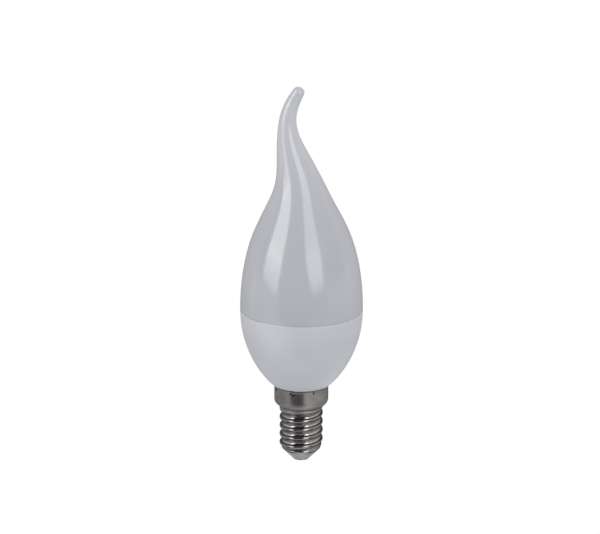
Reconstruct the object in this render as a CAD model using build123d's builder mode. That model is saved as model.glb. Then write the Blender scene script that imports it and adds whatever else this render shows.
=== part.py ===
from build123d import *
import os
from math import sin, cos, pi, sqrt, floor

# Bent-tip candle lamp with a 14 mm screw cap, in millimetres.
# Origin: centre of the contact's flat bottom.  +Z runs up the lamp's axis to the tip.
# The tail of the cover bends in the XZ plane: first towards -X, then its tip hooks back to +X.

os.makedirs("parts", exist_ok=True)

# ---------------------------------------------------------------- driving dimensions
# screw cap (14 mm cap, 25 mm long, 17 mm collar)
SHEET = 0.30            # sheet thickness of the cap
COLLAR_R = 8.55         # outside radius of the collar
CAP_TOP_Z = 24.96       # cut edge at the top of the collar
SHOULDER_FILLET = 2.0   # bend between the collar and the sloping shoulder
NECK_R = 6.88           # plain band above the thread
NECK_Z = 17.67          # where the shoulder meets the plain band
THREAD_PITCH = 2.822    # nine turns to the inch
THREAD_CREST_R = 1.27   # the rolled thread's broad round crest
THREAD_ROOT_R = 0.374   # and its narrow root
THREAD_R = 6.85         # crest radius
THREAD_Z0 = 5.50        # height of the lowest full crest at -X
THREAD_BOTTOM_Z = 4.06
THREAD_TOP_Z = 17.45
THREAD_FULL_Z = (5.30, 16.70)   # between these heights the groove has its full depth
THREAD_END_R = 6.14     # plain radius under the last turn
RIM_TOP_R = 6.17
RIM_R = 5.55            # cut edge of the rim that is turned in over the insulator
RIM_Z = 3.20
RIM_BEND_R = 0.50
STAKES = 8              # punch marks round the collar
STAKE_ANGLE = 24.5      # degrees, of the first one, from +X
STAKE_Z = 23.60
STAKE_BALL_R = 0.80
STAKE_DEPTH = 0.18

# insulator and contact
INSULATOR_Z = 0.45      # its flat underside
INSULATOR_R = 2.80      # outside of that underside; from here a 45 degree cone goes up to the rim
PLUG_R = 5.60           # the part inside the cap
PLUG_TOP_Z = 6.20
CONTACT_R = 2.60
CONTACT_EDGE_R = 0.35
SHANK_R = 1.20
SHANK_TOP_Z = 6.20

# housing
SEAM_Z = 49.50
HOUSING_FOOT_R = 8.95   # underside edge that sits on the collar
PRESS_R = COLLAR_R - SHEET   # spigot inside the collar
SPIGOT_Z = 20.60
HOUSING_NECK_R = 5.60
HOUSING_NECK_TOP_Z = 18.00
HOUSING_NECK_Z = 6.20    # the neck ends on the insulator
HOUSING_EDGE_R = 0.25
HOUSING_PROFILE = [     # (radius, height) from the foot to the seam
    (8.95, 24.96), (10.61, 26.50), (12.29, 28.50), (14.04, 31.00), (15.72, 34.00), (17.03, 37.00),
    (18.03, 40.00), (18.72, 43.00), (19.13, 46.00), (19.26, 48.00), (19.295, 49.50),
]

# cover
SEAT_R = 17.50          # spigot of the cover in the housing's mouth
SEAT_DEPTH = 2.50
TIP_FILLET = 1.50
COVER_SECTIONS = [      # (height, sideways shift, radius) of the round sections along the bent centre line
    (49.50, 0.000, 19.295), (52.00, 0.000, 19.270), (55.00, 0.000, 19.135), (58.00, 0.000, 18.900),
    (61.00, -0.004, 18.540), (64.00, -0.024, 18.055), (67.00, -0.058, 17.430), (70.00, -0.095, 16.650),
    (73.00, -0.137, 15.675), (76.00, -0.198, 14.470), (79.00, -0.283, 13.063), (82.00, -0.383, 11.554),
    (85.00, -0.521, 10.065), (88.00, -0.755, 8.697), (91.00, -1.150, 7.513), (94.00, -1.718, 6.515),
    (97.00, -2.417, 5.650), (100.00, -3.165, 4.850), (103.00, -3.853, 4.093), (106.00, -4.356, 3.433),
    (109.00, -4.557, 2.930), (112.00, -4.340, 2.584), (114.00, -3.897, 2.406), (116.00, -3.190, 2.240),
    (118.00, -2.235, 2.065), (120.00, -1.090, 1.850), (121.35, -0.254, 1.684),
]


# ---------------------------------------------------------------- rolled thread
ARCS = THREAD_CREST_R + THREAD_ROOT_R
CREST_C = THREAD_R - THREAD_CREST_R                                 # radius of the crest arc's centre
THREAD_DEPTH = ARCS - sqrt(ARCS**2 - THREAD_PITCH**2 / 4)
ROOT_R = THREAD_R - THREAD_DEPTH
ROOT_C = ROOT_R + THREAD_ROOT_R                                     # radius of the root arc's centre
FLANK_SIN = THREAD_PITCH / 2 / ARCS                                 # slope where the two arcs meet


def ease(t):
    t = min(1.0, max(0.0, t))
    return t * t * (3 - 2 * t)


def thread_radius(z, angle, inset):
    """Radius of the rolled sheet's outside (inset 0) or inside (inset = sheet) at a height and an angle."""
    crest_z = THREAD_Z0 + THREAD_PITCH * (angle - pi) / (2 * pi)    # right-handed
    u = (z - crest_z) / THREAD_PITCH
    u = abs(u - floor(u + 0.5)) * THREAD_PITCH                      # distance to the nearest crest
    if u <= (THREAD_CREST_R - inset) * FLANK_SIN:
        r = CREST_C + sqrt((THREAD_CREST_R - inset) ** 2 - u * u)
    else:
        v = THREAD_PITCH / 2 - u
        r = ROOT_C - sqrt((THREAD_ROOT_R + inset) ** 2 - v * v)
    # the groove runs out into the plain band above and into the plain end below
    up = ease((z - THREAD_FULL_Z[1]) / (THREAD_TOP_Z - THREAD_FULL_Z[1]))
    r += up * (THREAD_R - inset - r)
    down = ease((THREAD_FULL_Z[0] - z) / (THREAD_FULL_Z[0] - THREAD_BOTTOM_Z))
    r += down * (THREAD_END_R - inset - r)
    return r


THREAD_POINTS = 24
THREAD_STEPS = 60


def thread_ring(z, inset):
    """Closed level curve of the thread; every level has the same evenly spaced parameters."""
    ring = []
    for k in range(THREAD_POINTS):
        a = 2 * pi * k / THREAD_POINTS
        r = thread_radius(z, a, inset)
        ring.append(Vector(r * cos(a), r * sin(a)))
    return Edge.make_spline(
        ring, periodic=True, parameters=[k / THREAD_POINTS for k in range(THREAD_POINTS + 1)]
    )


THREAD_LEVELS = [
    THREAD_BOTTOM_Z + (THREAD_TOP_Z - THREAD_BOTTOM_Z) * i / THREAD_STEPS for i in range(THREAD_STEPS + 1)
]

# ---------------------------------------------------------------- screw shell: one drawn and rolled sheet
LAP = 0.05              # the turned parts reach this far over the ends of the thread
RT2 = sqrt(2)
with BuildPart() as screw_shell:
    # collar, sloping shoulder and plain band
    with BuildSketch(Plane.XZ):
        with BuildLine():
            FilletPolyline(
                (NECK_R, THREAD_TOP_Z - LAP), (NECK_R, NECK_Z),
                (COLLAR_R, NECK_Z + COLLAR_R - NECK_R), (COLLAR_R, CAP_TOP_Z),
                radius=[0.25, SHOULDER_FILLET],
            )
            Polyline((COLLAR_R, CAP_TOP_Z), (0, CAP_TOP_Z), (0, THREAD_TOP_Z - LAP), (NECK_R, THREAD_TOP_Z - LAP))
        make_face()
    revolve(axis=Axis.Z)
    # rim turned in over the insulator
    with BuildSketch(Plane.XZ):
        with BuildLine():
            FilletPolyline(
                (RIM_R, RIM_Z), (RIM_TOP_R, RIM_Z + RIM_TOP_R - RIM_R), (RIM_TOP_R, THREAD_BOTTOM_Z + LAP),
                radius=RIM_BEND_R,
            )
            Polyline((RIM_TOP_R, THREAD_BOTTOM_Z + LAP), (0, THREAD_BOTTOM_Z + LAP), (0, RIM_Z + SHEET / RT2),
                     (RIM_R - SHEET / RT2, RIM_Z + SHEET / RT2), (RIM_R, RIM_Z))
        make_face()
    revolve(axis=Axis.Z)
    # rolled thread, outside
    for z in THREAD_LEVELS:
        with BuildSketch(Plane.XY.offset(z)):
            with BuildLine():
                add(thread_ring(z, 0.0))
            make_face()
    loft()
    # inside of the rolled thread
    for z in THREAD_LEVELS:
        with BuildSketch(Plane.XY.offset(z)):
            with BuildLine():
                add(thread_ring(z, SHEET))
            make_face()
    loft(mode=Mode.SUBTRACT)
    # inside of the collar, shoulder and band
    IN = SHEET * (RT2 - 1)
    with BuildSketch(Plane.XZ):
        with BuildLine():
            FilletPolyline(
                (NECK_R - SHEET, THREAD_TOP_Z - LAP), (NECK_R - SHEET, NECK_Z + IN),
                (COLLAR_R - SHEET, NECK_Z + IN + COLLAR_R - NECK_R), (COLLAR_R - SHEET, CAP_TOP_Z),
                radius=[0.25 + SHEET, SHOULDER_FILLET - SHEET],
            )
            Polyline((COLLAR_R - SHEET, CAP_TOP_Z), (0, CAP_TOP_Z), (0, THREAD_TOP_Z - LAP),
                     (NECK_R - SHEET, THREAD_TOP_Z - LAP))
        make_face()
    revolve(axis=Axis.Z, mode=Mode.SUBTRACT)
    # inside of the rim
    with BuildSketch(Plane.XZ):
        with BuildLine():
            FilletPolyline(
                (RIM_R - SHEET / RT2, RIM_Z + SHEET / RT2),
                (RIM_TOP_R - SHEET, RIM_Z + RIM_TOP_R - RIM_R + IN), (RIM_TOP_R - SHEET, THREAD_BOTTOM_Z + LAP),
                radius=RIM_BEND_R - SHEET,
            )
            Polyline((RIM_TOP_R - SHEET, THREAD_BOTTOM_Z + LAP), (0, THREAD_BOTTOM_Z + LAP),
                     (0, RIM_Z + SHEET / RT2), (RIM_R - SHEET / RT2, RIM_Z + SHEET / RT2))
        make_face()
    revolve(axis=Axis.Z, mode=Mode.SUBTRACT)
    # punch marks that lock the collar on the housing
    with Locations((0, 0, STAKE_Z)):
        with PolarLocations(COLLAR_R + STAKE_BALL_R - STAKE_DEPTH, STAKES, start_angle=STAKE_ANGLE):
            Sphere(STAKE_BALL_R, mode=Mode.SUBTRACT)
screw_shell.part.label = "screw_shell"
export_step(screw_shell.part, "parts/screw_shell.step")

# ---------------------------------------------------------------- insulator: plug under the rim, cone outside
with BuildPart() as insulator:
    with BuildSketch(Plane.XZ):
        with BuildLine():
            Polyline(
                (SHANK_R, INSULATOR_Z), (INSULATOR_R, INSULATOR_Z),
                (RIM_R, RIM_Z), (RIM_R - SHEET / RT2, RIM_Z + SHEET / RT2),
                (PLUG_R, RIM_Z + SHEET / RT2 + PLUG_R - RIM_R + SHEET / RT2),
                (PLUG_R, PLUG_TOP_Z), (SHANK_R, PLUG_TOP_Z), close=True,
            )
        make_face()
    revolve(axis=Axis.Z)
    fillet(insulator.edges().filter_by(GeomType.CIRCLE).sort_by(Axis.Z)[:2].sort_by(SortBy.RADIUS)[-1], 0.12)
insulator.part.label = "insulator"
export_step(insulator.part, "parts/insulator.step")

# ---------------------------------------------------------------- centre contact: headed pin
with BuildPart() as centre_contact:
    with BuildSketch(Plane.XY):
        Circle(CONTACT_R)
    extrude(amount=INSULATOR_Z)
    fillet(centre_contact.edges().filter_by(GeomType.CIRCLE).sort_by(Axis.Z)[0], CONTACT_EDGE_R)
    with BuildSketch(Plane.XY.offset(INSULATOR_Z)):
        Circle(SHANK_R)
    extrude(amount=SHANK_TOP_Z - INSULATOR_Z)
    chamfer(centre_contact.edges().filter_by(GeomType.CIRCLE).sort_by(Axis.Z)[-1], 0.25)
centre_contact.part.label = "centre_contact"
export_step(centre_contact.part, "parts/centre_contact.step")

# ---------------------------------------------------------------- housing: moulded body with its neck in the cap
with BuildPart() as housing:
    with BuildSketch(Plane.XZ):
        with BuildLine():
            Spline(*HOUSING_PROFILE)
            Polyline(
                HOUSING_PROFILE[-1], (SEAT_R, SEAM_Z), (SEAT_R, SEAM_Z - SEAT_DEPTH), (0, SEAM_Z - SEAT_DEPTH),
                (0, HOUSING_NECK_Z), (HOUSING_NECK_R, HOUSING_NECK_Z), (HOUSING_NECK_R, HOUSING_NECK_TOP_Z),
                (PRESS_R, SPIGOT_Z), (PRESS_R, CAP_TOP_Z), HOUSING_PROFILE[0],
            )
        make_face()
    revolve(axis=Axis.Z)
    rim = housing.edges().filter_by(GeomType.CIRCLE).filter_by(lambda e: abs(e.radius - 19.295) < 1e-3)
    fillet(rim, HOUSING_EDGE_R)
    foot = housing.edges().filter_by(GeomType.CIRCLE).filter_by(lambda e: abs(e.radius - HOUSING_FOOT_R) < 1e-3)
    fillet(foot, 0.15)
    neck_end = housing.edges().filter_by(GeomType.CIRCLE).sort_by(Axis.Z)[0]
    chamfer(neck_end, 0.6)
housing.part.label = "housing"
export_step(housing.part, "parts/housing.step")

# ---------------------------------------------------------------- cover: round sections along the bent centre line
def section_plane(i):
    z, x, r = COVER_SECTIONS[i]
    if i == 0:
        slope = 0.0
    elif i == len(COVER_SECTIONS) - 1:
        za, xa, _ = COVER_SECTIONS[i - 1]
        slope = (x - xa) / (z - za)
    else:
        za, xa, _ = COVER_SECTIONS[i - 1]
        zb, xb, _ = COVER_SECTIONS[i + 1]
        sa, sb = (x - xa) / (z - za), (xb - x) / (zb - z)
        wa, wb = zb - z, z - za
        slope = (sa * wa + sb * wb) / (wa + wb)
    return Plane(origin=(x, 0, z), x_dir=(0, 1, 0), z_dir=(slope, 0, 1))


with BuildPart() as diffuser:
    for i in range(len(COVER_SECTIONS)):
        with BuildSketch(section_plane(i)):
            Circle(COVER_SECTIONS[i][2])
    loft()
    fillet(diffuser.faces().sort_by(Axis.Z)[-1].edges(), TIP_FILLET)
    with BuildSketch(Plane.XY.offset(SEAM_Z - SEAT_DEPTH)):
        Circle(SEAT_R)
    extrude(amount=SEAT_DEPTH)
diffuser.part.label = "diffuser"
export_step(diffuser.part, "parts/diffuser.step")
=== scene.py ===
from math import sin, cos, pi, sqrt, radians

import bpy
import numpy as np
from mathutils import Matrix, Vector


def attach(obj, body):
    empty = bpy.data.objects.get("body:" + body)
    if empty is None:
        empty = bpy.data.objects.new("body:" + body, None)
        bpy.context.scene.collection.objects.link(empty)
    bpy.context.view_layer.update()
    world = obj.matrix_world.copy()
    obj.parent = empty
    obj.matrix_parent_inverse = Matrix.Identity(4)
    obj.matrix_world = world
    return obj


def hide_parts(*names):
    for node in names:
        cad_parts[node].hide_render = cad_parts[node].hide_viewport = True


# Bent-tip candle lamp: the looks.  Metres in Blender; the numbers below are millimetres.
# Origin at the centre of the contact's underside, +Z up the lamp, the tail bends in the XZ plane.

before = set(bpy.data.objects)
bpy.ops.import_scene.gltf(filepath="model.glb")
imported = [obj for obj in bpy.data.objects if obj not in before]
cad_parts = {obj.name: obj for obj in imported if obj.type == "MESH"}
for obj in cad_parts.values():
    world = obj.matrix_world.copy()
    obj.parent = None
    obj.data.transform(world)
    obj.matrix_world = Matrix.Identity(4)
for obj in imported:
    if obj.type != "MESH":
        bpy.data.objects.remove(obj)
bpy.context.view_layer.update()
MM = 0.001

# ------------------------------------------------------------------ dimensions (as in the CAD source)
SHEET = 0.30
COLLAR_R, CAP_TOP_Z, SHOULDER_FILLET = 8.55, 24.96, 2.0
NECK_R, NECK_Z, NECK_FILLET = 6.88, 17.67, 0.25
THREAD_PITCH, THREAD_CREST_R, THREAD_ROOT_R, THREAD_R = 2.822, 1.27, 0.374, 6.85
THREAD_Z0, THREAD_BOTTOM_Z, THREAD_TOP_Z, THREAD_END_R = 5.50, 4.06, 17.45, 6.17
THREAD_FULL_Z = (5.30, 16.70)
RIM_TOP_R, RIM_R, RIM_Z, RIM_BEND_R = 6.17, 5.55, 3.20, 0.50
STAKES, STAKE_ANGLE, STAKE_Z = 8, 24.5, 23.60
INSULATOR_Z, INSULATOR_R, PLUG_R, PLUG_TOP_Z = 0.45, 2.80, 5.60, 6.20
CONTACT_R, CONTACT_EDGE_R, SHANK_R, SHANK_TOP_Z = 2.60, 0.35, 1.20, 6.20
SEAM_Z, PRESS_R, SPIGOT_Z = 49.50, 8.25, 20.60
HOUSING_NECK_R, HOUSING_NECK_TOP_Z, HOUSING_NECK_Z = 5.60, 18.00, 6.20
HOUSING_EDGE_R, FOOT_EDGE_R = 0.25, 0.15
HOUSING_PROFILE = [
    (8.95, 24.96), (10.61, 26.50), (12.29, 28.50), (14.04, 31.00), (15.72, 34.00), (17.03, 37.00),
    (18.03, 40.00), (18.72, 43.00), (19.13, 46.00), (19.26, 48.00), (19.295, 49.50),
]
SEAT_R, SEAT_DEPTH, TIP_FILLET = 17.50, 2.50, 1.50
COVER_SECTIONS = [
    (49.50, 0.000, 19.295), (52.00, 0.000, 19.270), (55.00, 0.000, 19.135), (58.00, 0.000, 18.900),
    (61.00, -0.004, 18.540), (64.00, -0.024, 18.055), (67.00, -0.058, 17.430), (70.00, -0.095, 16.650),
    (73.00, -0.137, 15.675), (76.00, -0.198, 14.470), (79.00, -0.283, 13.063), (82.00, -0.383, 11.554),
    (85.00, -0.521, 10.065), (88.00, -0.755, 8.697), (91.00, -1.150, 7.513), (94.00, -1.718, 6.515),
    (97.00, -2.417, 5.650), (100.00, -3.165, 4.850), (103.00, -3.853, 4.093), (106.00, -4.356, 3.433),
    (109.00, -4.557, 2.930), (112.00, -4.340, 2.584), (114.00, -3.897, 2.406), (116.00, -3.190, 2.240),
    (118.00, -2.235, 2.065), (120.00, -1.090, 1.850), (121.35, -0.254, 1.684),
]


# ------------------------------------------------------------------ shape helpers
def spline(xs, ys, q):
    """Natural cubic spline through (xs, ys): values and slopes at q."""
    xs, ys, q = np.asarray(xs, float), np.asarray(ys, float), np.asarray(q, float)
    n, h = len(xs), np.diff(xs)
    a, b = np.eye(n), np.zeros(n)
    for i in range(1, n - 1):
        a[i, i - 1], a[i, i], a[i, i + 1] = h[i - 1], 2 * (h[i - 1] + h[i]), h[i]
        b[i] = 6 * ((ys[i + 1] - ys[i]) / h[i] - (ys[i] - ys[i - 1]) / h[i - 1])
    m = np.linalg.solve(a, b)
    i = np.clip(np.searchsorted(xs, q) - 1, 0, n - 2)
    t, w = q - xs[i], h[i]
    c3, c2 = (m[i + 1] - m[i]) / (6 * w), m[i] / 2
    c1 = (ys[i + 1] - ys[i]) / w - w * (2 * m[i] + m[i + 1]) / 6
    return ys[i] + t * (c1 + t * (c2 + t * c3)), c1 + t * (2 * c2 + 3 * c3 * t)


def arc(cx, cz, r, a0, a1, n):
    """Points of an arc in the (radius, height) plane, angles in degrees."""
    return [(cx + r * cos(radians(a)), cz + r * sin(radians(a))) for a in np.linspace(a0, a1, n)]


def run(p, q, n):
    """n points from p to q, without p."""
    return [(p[0] + (q[0] - p[0]) * k / n, p[1] + (q[1] - p[1]) * k / n) for k in range(1, n + 1)]


def turned(profile, n):
    """Rings of a turned piece, one for each (radius, height)."""
    p = np.asarray(profile, float)
    a = 2 * pi * np.arange(n) / n
    return np.stack([p[:, :1] * np.cos(a), p[:, :1] * np.sin(a), np.repeat(p[:, 1:], n, 1)], -1)


def skin(name, rings, wrap=False, first=None, last=None, sharp=38):
    """Closed smooth mesh over rings of equal count; first and last are pole points, wrap joins the last ring to the first."""
    rows, n = rings.shape[:2]
    co = rings.reshape(-1, 3)
    i = np.arange(rows if wrap else rows - 1)[:, None]
    k = np.arange(n)[None, :]
    i2, k2 = (i + 1) % rows, (k + 1) % n
    faces = np.stack([i * n + k, i * n + k2, i2 * n + k2, i2 * n + k], -1).reshape(-1, 4).tolist()
    k, k2 = k[0], k2[0]
    if first is not None:
        co = np.vstack([co, first])
        faces += np.stack([np.full(n, len(co) - 1), k2, k], -1).tolist()
    if last is not None:
        co = np.vstack([co, last])
        base = (rows - 1) * n
        faces += np.stack([np.full(n, len(co) - 1), base + k, base + k2], -1).tolist()
    mesh = bpy.data.meshes.new(name)
    mesh.from_pydata((co * MM).tolist(), [], faces)
    mesh.polygons.foreach_set("use_smooth", [True] * len(mesh.polygons))
    mesh.set_sharp_from_angle(angle=radians(sharp))
    obj = bpy.data.objects.new(name, mesh)
    bpy.context.scene.collection.objects.link(obj)
    return obj


# ------------------------------------------------------------------ cover: flame with a bent tail
def cover_rings(n):
    cz, cx, cr = np.array(COVER_SECTIONS).T
    end_slope = (cx[-1] - cx[-2]) / (cz[-1] - cz[-2])
    along = sqrt(1 + end_slope**2)
    z = list(np.linspace(SEAM_Z + 0.05, 88.0, 130)[:-1]) + list(np.linspace(88.0, cz[-1] - TIP_FILLET / along, 130))
    inset = [0.0] * len(z)
    for f in np.linspace(0, 90, 13)[1:]:
        z.append(cz[-1] - TIP_FILLET * (1 - sin(radians(f))) / along)
        inset.append(TIP_FILLET * (1 - cos(radians(f))))
    z, inset = np.array(z), np.array(inset)
    x, slope = spline(cz, cx, z)
    r = spline(cz, cr, z)[0] - inset
    a = 2 * pi * np.arange(n) / n
    e1 = np.stack([1 / np.sqrt(1 + slope**2), 0 * z, -slope / np.sqrt(1 + slope**2)], -1)
    centre = np.stack([x, 0 * z, z], -1)
    side = np.array([0.0, 1.0, 0.0])
    rings = centre[:, None] + r[:, None, None] * (
        np.cos(a)[None, :, None] * e1[:, None] + np.sin(a)[None, :, None] * side)
    # the seat under the seam
    low = SEAM_Z - SEAT_DEPTH
    foot = turned([(8.0, low), (SEAT_R - 0.25, low), (SEAT_R - 0.07, low + 0.07), (SEAT_R, low + 0.25),
                   (SEAT_R, SEAM_Z), (18.4, SEAM_Z), (19.295 - 0.05, SEAM_Z), (19.295 - 0.015, SEAM_Z + 0.015)], n)
    return np.concatenate([foot, rings]), (0, 0, low), centre[-1]


rings, pole_a, pole_b = cover_rings(160)
diffuser = skin("diffuser_cover", rings, first=pole_a, last=pole_b)


# ------------------------------------------------------------------ housing: moulded bowl, neck inside the cap
def housing_profile():
    pts = np.array(HOUSING_PROFILE)
    chord = np.concatenate([[0], np.cumsum(np.hypot(*np.diff(pts, axis=0).T))])
    t = np.linspace(0, chord[-1], 120)
    wall = list(zip(spline(chord, pts[:, 0], t)[0], spline(chord, pts[:, 1], t)[0]))
    e, f = HOUSING_EDGE_R, FOOT_EDGE_R
    r_top = pts[-1, 0]
    wall = [p for p in wall if p[1] < SEAM_Z - e - 0.05 and p[0] > 8.95 + 0.12]
    return (
        [(3.0, HOUSING_NECK_Z), (HOUSING_NECK_R - 0.6, HOUSING_NECK_Z), (HOUSING_NECK_R, HOUSING_NECK_Z + 0.6)]
        + run((HOUSING_NECK_R, HOUSING_NECK_Z + 0.6), (HOUSING_NECK_R, HOUSING_NECK_TOP_Z), 6)
        + run((HOUSING_NECK_R, HOUSING_NECK_TOP_Z), (PRESS_R, SPIGOT_Z), 4)
        + run((PRESS_R, SPIGOT_Z), (PRESS_R, CAP_TOP_Z), 4)
        + [(8.62, CAP_TOP_Z), (8.74, CAP_TOP_Z)]
        + [(8.84, CAP_TOP_Z + 0.02), (8.93, CAP_TOP_Z + 0.065), (9.01, CAP_TOP_Z + 0.125)]
        + wall
        + arc(r_top - e, SEAM_Z - e, e, 0, 90, 9)
        + [(18.7, SEAM_Z), (SEAT_R, SEAM_Z), (SEAT_R, SEAM_Z - 0.3), (SEAT_R, SEAM_Z - SEAT_DEPTH)]
        + [(12.0, SEAM_Z - SEAT_DEPTH), (5.0, SEAM_Z - SEAT_DEPTH)]
    )


housing = skin("housing_body", turned(housing_profile(), 192),
               first=(0, 0, HOUSING_NECK_Z), last=(0, 0, SEAM_Z - SEAT_DEPTH))


# ------------------------------------------------------------------ screw shell: drawn and rolled sheet
ARCS = THREAD_CREST_R + THREAD_ROOT_R
CREST_C = THREAD_R - THREAD_CREST_R
THREAD_DEPTH = ARCS - sqrt(ARCS**2 - THREAD_PITCH**2 / 4)
ROOT_C = THREAD_R - THREAD_DEPTH + THREAD_ROOT_R
FLANK_SIN = THREAD_PITCH / 2 / ARCS


def ease(t):
    t = np.clip(t, 0, 1)
    return t * t * (3 - 2 * t)


def thread_radius(z, angle, inset):
    crest_z = THREAD_Z0 + THREAD_PITCH * (angle - pi) / (2 * pi)
    u = (z - crest_z) / THREAD_PITCH
    u = np.abs(u - np.floor(u + 0.5)) * THREAD_PITCH
    v = THREAD_PITCH / 2 - u
    crest = CREST_C + np.sqrt(np.maximum((THREAD_CREST_R - inset) ** 2 - u * u, 0))
    root = ROOT_C - np.sqrt(np.maximum((THREAD_ROOT_R + inset) ** 2 - v * v, 0))
    r = np.where(u <= (THREAD_CREST_R - inset) * FLANK_SIN, crest, root)
    low, high = THREAD_FULL_Z
    r = r + ease((z - high) / (THREAD_TOP_Z - high)) * (THREAD_R - inset - r)
    return r + ease((low - z) / (low - THREAD_BOTTOM_Z)) * (THREAD_END_R - inset - r)


def thread_groove(z, angle, below, flat, fade):
    """1 over the bottom of the groove or a little below it (flat to each side), then fading to 0."""
    u = (z + below - THREAD_Z0 - THREAD_PITCH * (angle - pi) / (2 * pi)) / THREAD_PITCH
    v = THREAD_PITCH * (0.5 - np.abs(u - np.floor(u + 0.5)))
    low, high = THREAD_FULL_Z
    return (1 - ease((v - flat) / fade)) * (1 - ease((z - high) / (THREAD_TOP_Z - high))) * ease((z - 3.9) / 0.9)


def cap_turned(inset, n_wall):
    """Collar, shoulder and plain band as (radius, height), downwards."""
    k = inset * (sqrt(2) - 1)
    corner_z = NECK_Z + k + COLLAR_R - NECK_R
    rc, rn, f = COLLAR_R - inset, NECK_R - inset, SHOULDER_FILLET - inset
    t = f * np.tan(radians(22.5))
    pts = [(rc, CAP_TOP_Z)] + run((rc, CAP_TOP_Z), (rc, 22.9), n_wall)
    pts += run((rc, 22.9), (rc, corner_z + t), max(n_wall // 4, 2))
    pts += arc(rc - f, corner_z + t, f, 0, -45, 12)[1:]
    g = NECK_FILLET + inset
    tg = g * np.tan(radians(22.5))
    start = (rn + tg / sqrt(2), NECK_Z + k + tg / sqrt(2))
    pts += run(pts[-1], start, 8)
    pts += arc(rn + g, NECK_Z + k - tg, g, 135, 180, 6)[1:]
    pts += run(pts[-1], (rn, THREAD_TOP_Z), 2)[:-1]
    return pts


def cap_rim(inset):
    """Plain end and the rim that is turned in, downwards."""
    k = inset * (sqrt(2) - 1)
    rt, f = RIM_TOP_R - inset, RIM_BEND_R - inset
    corner_z = RIM_Z + RIM_TOP_R - RIM_R + k
    t = f * np.tan(radians(22.5))
    end = (RIM_R - inset / sqrt(2), RIM_Z + inset / sqrt(2))
    pts = arc(rt - f, corner_z + t, f, 0, -45, 8)
    return pts + run(pts[-1], end, 4)


# punch marks: turn from the even spacing (degrees), height of the point, and the cut's line (along the wall, upwards)
VEE = [(-0.66, 0.70), (0.0, 0.0), (0.50, 0.40)]
EEV = [(0.64, 0.66), (0.0, 0.0), (-0.48, 0.38)]
NICK = [(0.16, 0.30), (-0.14, -0.22)]
MARKS = [(0.0, 23.10, EEV), (1.5, 24.02, NICK), (-1.0, 23.02, VEE), (2.0, 23.96, NICK),
         (-4.6, 23.40, EEV), (0.9, 23.20, VEE), (2.6, 24.06, NICK), (7.5, 23.20, VEE)]


def cut_distance(s, t, line):
    """Distance from points to a polyline."""
    best = np.full(np.shape(s), 9.0)
    for (x0, y0), (x1, y1) in zip(line[:-1], line[1:]):
        dx, dy = x1 - x0, y1 - y0
        k = np.clip(((s - x0) * dx + (t - y0) * dy) / (dx * dx + dy * dy), 0, 1)
        best = np.minimum(best, np.hypot(s - x0 - k * dx, t - y0 - k * dy))
    return best


def punch(s, t, line):
    """Depth of a punch mark and how much painted shade its cut gets: a narrow cut, and over a vee a dimple and the
    tongue that is pushed in.
    """
    d = cut_distance(s, t, line)
    wide = 0.20 if len(line) == 3 else 0.06
    if len(line) == 3:
        d = np.minimum(d, np.hypot(s, t - 1.16) + 0.06)
    cut = 1 - ease((d - wide) / 0.14)
    tongue = 0.0
    if len(line) == 3:
        (xa, ya), _, (xb, yb) = line if line[0][0] < 0 else line[::-1]
        lo = np.where(s < 0, s * ya / xa, s * yb / xb)
        inside = ease((t - lo) / 0.10) * ease((s - xa) / 0.15) * ease((xb - s) / 0.15)
        tongue = inside * 0.16 * (1 - ease((t - lo) / 1.15))
    return np.maximum(0.26 * cut, tongue), cut


def wall_angles(n):
    """Angles round the cap, closer together at the punch marks."""
    per, step = n // STAKES, 360 / STAKES
    half, fine = 6.5, int(per * 0.6)
    rows = []
    for j in range(STAKES):
        mid = STAKE_ANGLE + step * j + MARKS[j][0]
        after = STAKE_ANGLE + step * (j + 1) + MARKS[(j + 1) % STAKES][0]
        rows += list(np.linspace(mid - half, mid + half, fine, endpoint=False))
        rows += list(np.linspace(mid + half, after - half, per - fine, endpoint=False))
    return np.radians(rows)


def shell_rings(n):
    a = wall_angles(n)
    rows, painted_shade, dull = [], [], []

    def row(r, z, dark, matt=0.0):
        rows.append(np.stack([r * np.cos(a), r * np.sin(a), np.full(n, z)], -1))
        painted_shade.append(np.broadcast_to(dark, (n,)))
        dull.append(np.broadcast_to(matt, (n,)))

    # outside, downwards
    for r, z in cap_turned(0.0, 40):
        # painted shade: a dark line under the housing's edge, a dark crease under the shoulder, and dark punch cuts
        ring, dark = np.full(n, r), np.full(n, 0.88 * ease((z - 24.50) / 0.24) + 0.80 * (1 - ease(abs(z - 18.06) / 0.42)))
        if z > 22.4:
            for j, (turn, height, line) in enumerate(MARKS):
                d = (a - radians(STAKE_ANGLE + 360 / STAKES * j + turn) + pi) % (2 * pi) - pi
                deep, cut = punch(COLLAR_R * d, z - height, line)
                ring, dark = ring - deep, np.maximum(dark, cut)
        row(ring, z, dark)
    for z in np.linspace(THREAD_TOP_Z, THREAD_BOTTOM_Z, 150):
        # painted shade in the groove bottoms; the groove sides get a duller finish
        bottom = thread_groove(z, a, 0.03, 0.02, 0.15)
        row(thread_radius(z, a, 0.0), z, 0.60 * bottom, 0.9 * thread_groove(z, a, 0.0, 0.22, 0.36) * (1 - 0.7 * bottom))
    for r, z in cap_rim(0.0):
        row(np.full(n, r), z, 0.0)
    # inside, upwards
    for r, z in reversed(cap_rim(SHEET)):
        row(np.full(n, r), z, 0.0)
    for z in np.linspace(THREAD_BOTTOM_Z, THREAD_TOP_Z, 40):
        row(thread_radius(z, a, SHEET), z, 0.0)
    for r, z in reversed(cap_turned(SHEET, 8)):
        row(np.full(n, r), z, 0.0)
    return np.array(rows)[::-1], np.array(painted_shade)[::-1], np.array(dull)[::-1]


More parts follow.
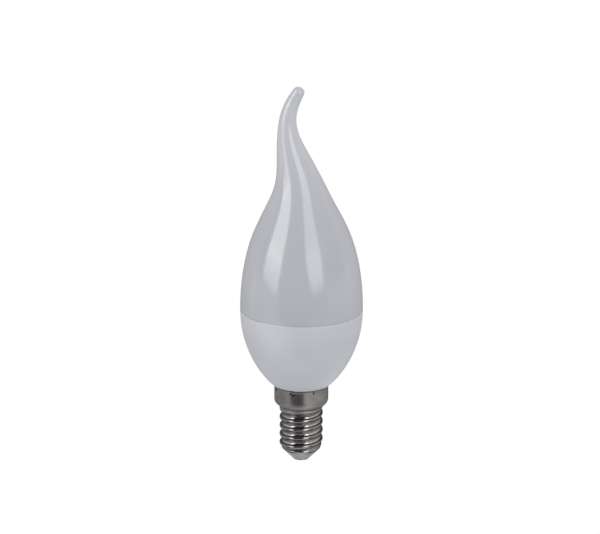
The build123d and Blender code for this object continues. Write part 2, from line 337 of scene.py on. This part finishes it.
rings, painted_shade, dull = shell_rings(288)
screw_shell = skin("screw_shell_rolled", rings, wrap=True, sharp=60)
for name, values in (("painted_shade", painted_shade), ("dull", dull)):
    att = screw_shell.data.attributes.new(name, "FLOAT", "POINT")
    att.data.foreach_set("value", np.ascontiguousarray(values, dtype=np.float32).ravel())

# ------------------------------------------------------------------ insulator and contact
RT2 = sqrt(2)
under = (RIM_R - SHEET / RT2, RIM_Z + SHEET / RT2)
insulator_profile = (
    [(SHANK_R, INSULATOR_Z)] + run((SHANK_R, INSULATOR_Z), (INSULATOR_R - 0.05, INSULATOR_Z), 5)
    + arc(INSULATOR_R - 0.05, INSULATOR_Z + 0.12, 0.12, -90, -45, 5)[1:]
)
insulator_profile += run(insulator_profile[-1], (RIM_R, RIM_Z), 16)
insulator_profile += run((RIM_R, RIM_Z), under, 2)
insulator_profile += run(under, (PLUG_R, under[1] + PLUG_R - under[0]), 3)
insulator_profile += run(insulator_profile[-1], (PLUG_R, PLUG_TOP_Z), 3)
insulator_profile += run((PLUG_R, PLUG_TOP_Z), (SHANK_R, PLUG_TOP_Z), 4)
insulator_profile += run((SHANK_R, PLUG_TOP_Z), (SHANK_R, INSULATOR_Z), 4)[:-1]
insulator = skin("insulator_ring", turned(insulator_profile, 144), wrap=True)

e = CONTACT_EDGE_R
contact_profile = (
    [(0.5, 0), (1.2, 0), (1.9, 0)] + arc(CONTACT_R - e, e, e, -90, 0, 8)
    + [(CONTACT_R, INSULATOR_Z), (1.9, INSULATOR_Z), (SHANK_R, INSULATOR_Z), (SHANK_R, 3.0), (SHANK_R, SHANK_TOP_Z - 0.25),
       (SHANK_R - 0.25, SHANK_TOP_Z), (0.4, SHANK_TOP_Z)]
)
contact = skin("contact_button", turned(contact_profile, 96), first=(0, 0, 0), last=(0, 0, SHANK_TOP_Z))


# ------------------------------------------------------------------ materials
class Shader:
    """A small helper that adds nodes and links them."""

    def __init__(self, name):
        self.mat = bpy.data.materials.new(name)
        self.mat.use_nodes = True
        self.tree = self.mat.node_tree
        self.bsdf = next(n for n in self.tree.nodes if n.type == "BSDF_PRINCIPLED")

    def add(self, kind, **values):
        node = self.tree.nodes.new(kind)
        for k, v in values.items():
            setattr(node, k, v)
        return node

    def put(self, socket, value):
        if hasattr(value, "is_output"):
            self.tree.links.new(value, socket)
        else:
            socket.default_value = value

    def place(self, scale):
        coord = self.add("ShaderNodeTexCoord")
        mapping = self.add("ShaderNodeMapping")
        mapping.inputs["Scale"].default_value = scale
        self.put(mapping.inputs["Vector"], coord.outputs["Object"])
        return mapping.outputs["Vector"]

    def noise(self, vector, scale, detail=3.0, rough=0.5):
        n = self.add("ShaderNodeTexNoise")
        self.put(n.inputs["Vector"], vector)
        n.inputs["Scale"].default_value = scale
        n.inputs["Detail"].default_value = detail
        n.inputs["Roughness"].default_value = rough
        return n.outputs["Fac"]

    def span(self, value, a, b, to_a, to_b):
        n = self.add("ShaderNodeMapRange")
        n.interpolation_type = "SMOOTHSTEP"
        self.put(n.inputs["Value"], value)
        for k, v in (("From Min", a), ("From Max", b), ("To Min", to_a), ("To Max", to_b)):
            n.inputs[k].default_value = v
        return n.outputs["Result"]

    def math(self, op, a, b):
        n = self.add("ShaderNodeMath", operation=op)
        self.put(n.inputs[0], a)
        self.put(n.inputs[1], b)
        return n.outputs[0]

    def height(self):
        """Height along the lamp, in metres."""
        coord = self.add("ShaderNodeTexCoord")
        split = self.add("ShaderNodeSeparateXYZ")
        self.put(split.inputs[0], coord.outputs["Object"])
        return split.outputs["Z"]

    def mark(self, name):
        n = self.add("ShaderNodeAttribute")
        n.attribute_name = name
        return n.outputs["Fac"]

    def mix(self, fac, a, b):
        n = self.add("ShaderNodeMix", data_type="RGBA")
        self.put(n.inputs["Factor"], fac)
        self.put(n.inputs[6], a)
        self.put(n.inputs[7], b)
        return n.outputs[2]

    def bump(self, height, strength, distance, normal=None):
        n = self.add("ShaderNodeBump")
        n.inputs["Strength"].default_value = strength
        n.inputs["Distance"].default_value = distance
        self.put(n.inputs["Height"], height)
        if normal is not None:
            self.put(n.inputs["Normal"], normal)
        return n.outputs["Normal"]

    def set(self, **values):
        for k, v in values.items():
            self.put(self.bsdf.inputs[k.replace("_", " ")], v)
        return self.mat


def opal_material():
    s = Shader("opal_cover")
    v = s.place((1, 1, 1))
    cloud = s.noise(v, 90, 2.0)
    fine = s.noise(v, 2600, 2.0)
    colour = s.mix(s.span(cloud, 0.3, 0.7, 0.0, 1.0), (0.785, 0.796, 0.852, 1), (0.800, 0.811, 0.867, 1))
    z = s.height()
    # painted shade: the root of the cover over the seat is painted darker, and darker still inside the seat, standing
    # in for the less light that comes through there
    colour = s.mix(s.span(z, 0.0495, 0.0600, 1.0, 0.0), colour, (0.757, 0.767, 0.822, 1))
    colour = s.mix(s.span(z, 0.0496, 0.0501, 1.0, 0.0), colour, (0.680, 0.689, 0.738, 1))
    # painted light: the thin tail is painted lighter, standing in for the light it lets through, and a little less so
    # at the tip
    colour = s.mix(s.span(z, 0.0760, 0.1110, 0.0, 1.0), colour, (0.918, 0.936, 0.992, 1))
    colour = s.mix(s.span(z, 0.1140, 0.1205, 0.0, 1.0), colour, (0.870, 0.889, 0.968, 1))
    return s.set(Base_Color=colour, Roughness=s.span(fine, 0.25, 0.75, 0.11, 0.13), IOR=1.585)


def housing_material():
    s = Shader("white_housing")
    v = s.place((1, 1, 1))
    cloud = s.noise(v, 120, 2.0)
    fine = s.noise(v, 3200, 3.0)
    colour = s.mix(s.span(cloud, 0.3, 0.7, 0.0, 1.0), (0.820, 0.832, 0.900, 1), (0.840, 0.852, 0.920, 1))
    z = s.height()
    # lighter towards the lit mouth, and the rounded edge catches the light
    colour = s.mix(s.span(z, 0.0400, 0.0480, 0.0, 0.55), colour, (0.905, 0.917, 0.978, 1))
    colour = s.mix(s.span(z, 0.04918, 0.04928, 0.0, 1.0), colour, (0.975, 0.982, 1.0, 1))
    return s.set(Base_Color=colour, Roughness=s.span(fine, 0.25, 0.75, 0.40, 0.50), IOR=1.5,
                 Normal=s.bump(fine, 0.10, 0.00003))


def cap_material():
    s = Shader("plated_cap")
    rolled = s.place((1, 1, 14))
    v = s.place((1, 1, 1))
    z = s.height()
    lines = s.noise(rolled, 420, 4.0, 0.6)
    patch = s.noise(v, 260, 4.0, 0.6)
    speck = s.noise(v, 1500, 2.0)
    colour = s.mix(s.span(patch, 0.35, 0.75, 0.0, 1.0), (0.65, 0.608, 0.580, 1), (0.54, 0.501, 0.474, 1))
    # painted reflection: a lighter band just under the housing's edge; painted shade: the cuts, the crease under the
    # shoulder, the line under the housing and the groove bottoms are painted dark
    wander = s.math("ADD", z, s.span(patch, 0.3, 0.7, -0.00015, 0.00015))
    sheen_band = s.math("MULTIPLY", s.span(wander, 0.02385, 0.02420, 0.0, 1.0), s.span(wander, 0.02452, 0.02466, 1.0, 0.0))
    colour = s.mix(s.math("MULTIPLY", sheen_band, 0.6), colour, (0.78, 0.755, 0.735, 1))
    # painted light: the plain band above the thread is painted lighter
    band = s.math("MULTIPLY", s.span(z, 0.0166, 0.0171, 0.0, 0.6), s.span(z, 0.0176, 0.0180, 1.0, 0.0))
    colour = s.mix(band, colour, (0.78, 0.755, 0.735, 1))
    # painted shade: the darkness set on the shell's points goes into the colour
    painted_shade = s.mark("painted_shade")
    colour = s.mix(painted_shade, colour, (0.035, 0.032, 0.030, 1))
    satin = s.math("ADD", s.span(z, 0.0166, 0.0171, 0.0, 0.38), s.span(z, 0.0200, 0.0208, 0.0, -0.28))
    rough = s.math("ADD", s.math("ADD", s.span(patch, 0.3, 0.75, 0.08, 0.15), s.span(lines, 0.3, 0.7, 0.0, 0.05)), satin)
    rough = s.math("ADD", rough, s.math("MULTIPLY", sheen_band, 0.30))
    rough = s.math("ADD", rough, s.math("MULTIPLY", painted_shade, 0.25))
    rough = s.math("ADD", rough, s.math("MULTIPLY", s.mark("dull"), 0.34))
    normal = s.bump(speck, 0.10, 0.00003, s.bump(lines, 0.10, 0.00004))
    return s.set(Base_Color=colour, Metallic=1.0, Roughness=rough, Normal=normal)


def insulator_material():
    s = Shader("grey_insulator")
    v = s.place((1, 1, 1))
    cloud = s.noise(v, 500, 4.0, 0.6)
    fine = s.noise(v, 4000, 2.0)
    colour = s.mix(s.span(cloud, 0.3, 0.7, 0.0, 1.0), (0.475, 0.463, 0.460, 1), (0.605, 0.592, 0.588, 1))
    return s.set(Base_Color=colour, Roughness=s.span(fine, 0.3, 0.7, 0.38, 0.52), IOR=1.5,
                 Normal=s.bump(cloud, 0.15, 0.00006))


def contact_material():
    s = Shader("contact_metal")
    v = s.place((1, 1, 1))
    cloud = s.noise(v, 700, 4.0, 0.6)
    fine = s.noise(v, 3000, 2.0)
    colour = s.mix(s.span(cloud, 0.3, 0.7, 0.0, 1.0), (0.60, 0.59, 0.57, 1), (0.70, 0.69, 0.67, 1))
    return s.set(Base_Color=colour, Metallic=1.0, Roughness=s.span(fine, 0.3, 0.7, 0.30, 0.45),
                 Normal=s.bump(cloud, 0.12, 0.0001))


for piece, node, slot, material in (
    (diffuser, "diffuser", "opal_cover", opal_material()),
    (housing, "housing", "white_housing", housing_material()),
    (screw_shell, "screw_shell", "plated_cap", cap_material()),
    (insulator, "insulator", "grey_insulator", insulator_material()),
    (contact, "centre_contact", "contact_metal", contact_material()),
):
    piece.data.materials.append(material)
    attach(piece, "root")
    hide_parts(node)


# ------------------------------------------------------------------ stage: pale floor and backdrop, soft light
def glow_material(name, strength, colour=(1, 1, 1, 1), attribute=None):
    mat = bpy.data.materials.new(name)
    mat.use_nodes = True
    tree = mat.node_tree
    tree.nodes.clear()
    out = tree.nodes.new("ShaderNodeOutputMaterial")
    emit = tree.nodes.new("ShaderNodeEmission")
    emit.inputs["Color"].default_value = colour
    emit.inputs["Strength"].default_value = strength
    tree.links.new(emit.outputs[0], out.inputs["Surface"])
    if attribute:
        att = tree.nodes.new("ShaderNodeAttribute")
        att.attribute_name = attribute
        times = tree.nodes.new("ShaderNodeMath")
        times.operation = "MULTIPLY"
        times.inputs[1].default_value = strength
        tree.links.new(att.outputs["Fac"], times.inputs[0])
        tree.links.new(times.outputs[0], emit.inputs["Strength"])
        # a ray goes on through the card, so cards that overlap add up
        clear = tree.nodes.new("ShaderNodeBsdfTransparent")
        both = tree.nodes.new("ShaderNodeAddShader")
        tree.links.new(emit.outputs[0], both.inputs[0])
        tree.links.new(clear.outputs[0], both.inputs[1])
        tree.links.new(both.outputs[0], out.inputs["Surface"])
    return mat


def seen_by(obj, camera=False, glossy=False, diffuse=False):
    obj.visible_camera, obj.visible_glossy, obj.visible_diffuse = camera, glossy, diffuse
    obj.visible_transmission = obj.visible_volume_scatter = obj.visible_shadow = False


def stage_mesh(name, verts, faces, mat):
    mesh = bpy.data.meshes.new(name)
    mesh.from_pydata(verts, [], faces)
    mesh.materials.append(mat)
    obj = bpy.data.objects.new(name, mesh)
    bpy.context.scene.collection.objects.link(obj)
    return obj


pale = glow_material("pale_stage", 1.0)
DOME_R = 4.0
ring = [(DOME_R * cos(2 * pi * k / 64), DOME_R * sin(2 * pi * k / 64), 0.0) for k in range(64)]
floor = stage_mesh("floor", ring, [list(range(64))], pale)
seen_by(floor, camera=True)
dome_v, dome_f = [], []
for i in range(17):
    for k in range(32):
        el, az = -0.3 + (pi / 2 + 0.3) * i / 16, 2 * pi * k / 32
        dome_v.append((DOME_R * 1.02 * cos(el) * cos(az), DOME_R * 1.02 * cos(el) * sin(az), DOME_R * 1.02 * sin(el)))
        if i < 16:
            k2 = (k + 1) % 32
            dome_f.append((i * 32 + k, i * 32 + k2, (i + 1) * 32 + k2, (i + 1) * 32 + k))
dome = stage_mesh("backdrop", dome_v, dome_f, pale)
seen_by(dome, camera=True)


plastics = bpy.data.collections.new("plastic_pieces")
metals = bpy.data.collections.new("metal_pieces")
for piece in (diffuser, housing):
    plastics.objects.link(piece)
for piece in (screw_shell, insulator, contact):
    metals.objects.link(piece)


def card(name, az, el, strength, soft=(3, 3, 3, 3), on=None, lean=0.0, radius=1.5, colour=(1, 1, 1, 1), n=28, foot=(1.0, 1.0), slant=0.0, pinch=(0.0, 0.0, 1.0),
         swell=(0.0, 1.0, 0.0)):
    """Softbox seen only in reflections: a patch of a sphere round the lamp. Azimuth 0 is towards the camera, + to the right.
    foot is how bright its lower end is and over how many degrees it comes up to full; slant is how many
    degrees the lower edge is up on the first side and down on the second; pinch draws the two sides in at the foot,
    over so many degrees; swell is the elevation, half width and gain of a brighter or dimmer zone."""
    ts, els = np.linspace(0, 1, n), np.linspace(el[0], el[1], n)
    verts, faces, glow = [], [], []
    for i, b in enumerate(els):
        shift = lean * i / (n - 1)
        drawn = max(0.0, 1 - (b - el[0]) / pinch[2]) ** 2
        for k, t in enumerate(ts):
            a = az[0] + (az[1] - az[0]) * t
            c = b + slant * (1 - 2 * t) * (1 - i / (n - 1))
            e = a + shift + drawn * (pinch[0] * (1 - t) - pinch[1] * t)
            verts.append((radius * sin(radians(e)) * cos(radians(c)),
                          -radius * cos(radians(e)) * cos(radians(c)), 0.06 + radius * sin(radians(c))))
            g = foot[0] + (1 - foot[0]) * float(ease((b - el[0]) / foot[1]))
            g *= 1 + swell[2] * (1 - float(ease(abs(b - swell[0]) / swell[1])))
            for d, w in ((a - az[0], soft[0]), (az[1] - a, soft[1]), (b - el[0], soft[2]), (el[1] - b, soft[3])):
                g *= float(ease(d / w)) if w > 0 else 1.0
            glow.append(g)
            if i < n - 1 and k < n - 1:
                faces.append((i * n + k, i * n + k + 1, (i + 1) * n + k + 1, (i + 1) * n + k))
    obj = stage_mesh(name, verts, faces, glow_material(name, strength, colour, "glow"))
    att = obj.data.attributes.new("glow", "FLOAT", "POINT")
    att.data.foreach_set("value", glow)
    seen_by(obj, glossy=True)
    if on is not None:
        obj.light_linking.receiver_collection = on
    return obj


# two tall boxes in front, as the plastics mirror them, and their reflection in the pale table
card("strip_left", (-84, -41), (-3.5, 60), 3.6, (4, 4, 3, 15), plastics, lean=4, n=48, foot=(0.66, 17.0), slant=2.2,
     pinch=(0.0, 6.5, 20.0), swell=(15.0, 9.0, 0.20))
card("strip_right", (7, 45), (-2.5, 60), 2.8, (4, 4, 3, 15), plastics, n=48, foot=(0.66, 12.0), slant=-1.4,
     pinch=(13.0, 0.0, 27.0), swell=(33.0, 16.0, -0.26))
card("table_left", (-92, -20), (-54, -15), 1.9, (18, 18, 16, 8), plastics, radius=1.40)
card("table_right", (8, 66), (-64, -10), 0.5, (10, 18, 14, 10), plastics, radius=1.40)
card("table_glow", (-180, 180), (-89, -30), 0.35, (0, 0, 0, 20), plastics, radius=1.45, n=40)
card("table_far_left", (-120, -36), (-24, -0.5), 0.50, (26, 14, 8, 4), plastics, radius=1.42)
card("table_far_right", (44, 118), (-24, 1.0), 0.36, (16, 28, 8, 5), plastics, radius=1.42)
card("rim_left", (-176, -92), (-40, 65), 0.31, (12, 14, 14, 14), plastics, radius=1.45)
card("rim_right", (90, 176), (-40, 65), 0.33, (14, 12, 14, 14), plastics, radius=1.45)
card("table_rim_left", (-178, -108), (-66, -30), 0.28, (10, 14, 20, 10), plastics, radius=1.45)
card("table_rim_right", (96, 178), (-66, -30), 0.80, (14, 10, 20, 10), plastics, radius=1.45)
card("strip_rear", (172, 188), (-2, 16), 2.4, (3, 3, 4, 8), plastics)

# the same boxes as the cap mirrors them from below, with a dark horizon and grey sides
COOL = (0.94, 1.0, 1.11, 1)
card("cap_left", (-73, -45), (24, 66), 1.6, (6, 5, 8, 10), metals, lean=-14, colour=COOL)
card("cap_right", (11, 36), (24, 74), 1.6, (5, 6, 8, 10), metals, lean=16, colour=COOL)
card("cap_table_left", (-74, -43), (-52, -26), 1.35, (6, 5, 7, 5), metals, colour=COOL)
card("cap_table_right", (18, 52), (-62, -26), 1.1, (5, 8, 8, 5), metals, colour=COOL)
card("cap_top", (-60, 22), (62, 89), 0.80, (10, 10, 5, 0), metals, radius=1.55)
card("cap_sides_left", (-190, -62), (16, 80), 0.50, (60, 14, 8, 10), metals, radius=1.6)
card("cap_sides_right", (26, 190), (16, 80), 0.62, (12, 115, 8, 10), metals, radius=1.62)
card("cap_horizon_left", (-180, -60), (-8, 16), 0.07, (0, 12, 4, 4), metals, radius=1.65)
card("cap_horizon_right", (60, 180), (-8, 16), 0.05, (12, 0, 4, 4), metals, radius=1.65)
card("cap_low_left", (-180, -40), (-60, -9), 0.24, (0, 10, 14, 6), metals, radius=1.6)
card("cap_low_centre", (-48, 16), (-27, -8), 0.10, (8, 8, 6, 6), metals, radius=1.65)
card("cap_low_right", (8, 195), (-60, -10), 0.38, (8, 110, 14, 6), metals, radius=1.62)
card("cap_under", (-180, 180), (-89, -58), 0.52, (0, 0, 0, 14), metals, radius=1.7, n=40)
card("cap_rear", (171, 189), (24, 70), 1.6, (4, 4, 8, 10), metals, colour=COOL)
card("cap_table_rear", (171, 189), (-58, -26), 1.2, (4, 4, 8, 5), metals, colour=COOL)
card("cap_room", (-180, 180), (-60, 70), 0.02, (0, 0, 6, 6), metals, radius=1.75, n=40)

world = bpy.data.worlds.new("soft_light")
bpy.context.scene.world = world
world.use_nodes = True
wt = world.node_tree
background = next(n for n in wt.nodes if n.type == "BACKGROUND")
coord = wt.nodes.new("ShaderNodeTexCoord")
split = wt.nodes.new("ShaderNodeSeparateXYZ")
level = wt.nodes.new("ShaderNodeMapRange")
wt.links.new(coord.outputs["Generated"], split.inputs[0])
wt.links.new(split.outputs["Z"], level.inputs["Value"])
for k, v in (("From Min", -1.0), ("From Max", 1.0), ("To Min", 0.48), ("To Max", 0.68)):
    level.inputs[k].default_value = v
wt.links.new(level.outputs["Result"], background.inputs["Strength"])
background.inputs["Color"].default_value = (1, 1, 1, 1)
world.cycles_visibility.camera = False
world.cycles_visibility.glossy = False

# ------------------------------------------------------------------ camera
F_PX, PITCH, ROLL = 4739.34, radians(16.7476), radians(0.18464)
cam_data = bpy.data.cameras.new("camera")
cam_data.sensor_width, cam_data.sensor_fit = 36.0, "HORIZONTAL"
cam_data.lens = 36.0 * F_PX / 600
cam_data.clip_start, cam_data.clip_end = 0.05, 50
camera = bpy.data.objects.new("camera", cam_data)
bpy.context.scene.collection.objects.link(camera)
right, up, back = Vector((1, 0, 0)), Vector((0, sin(PITCH), cos(PITCH))), Vector((0, -cos(PITCH), sin(PITCH)))
right, up = cos(ROLL) * right + sin(ROLL) * up, cos(ROLL) * up - sin(ROLL) * right
eye = Vector((-0.5211, -1424.26, 491.89)) * MM
camera.matrix_world = Matrix((
    (right.x, up.x, back.x, eye.x), (right.y, up.y, back.y, eye.y), (right.z, up.z, back.z, eye.z), (0, 0, 0, 1)))
bpy.context.scene.camera = camera

view = bpy.context.scene.view_settings
view.view_transform, view.look, view.exposure, view.gamma = "Standard", "None", 0.0, 1.0
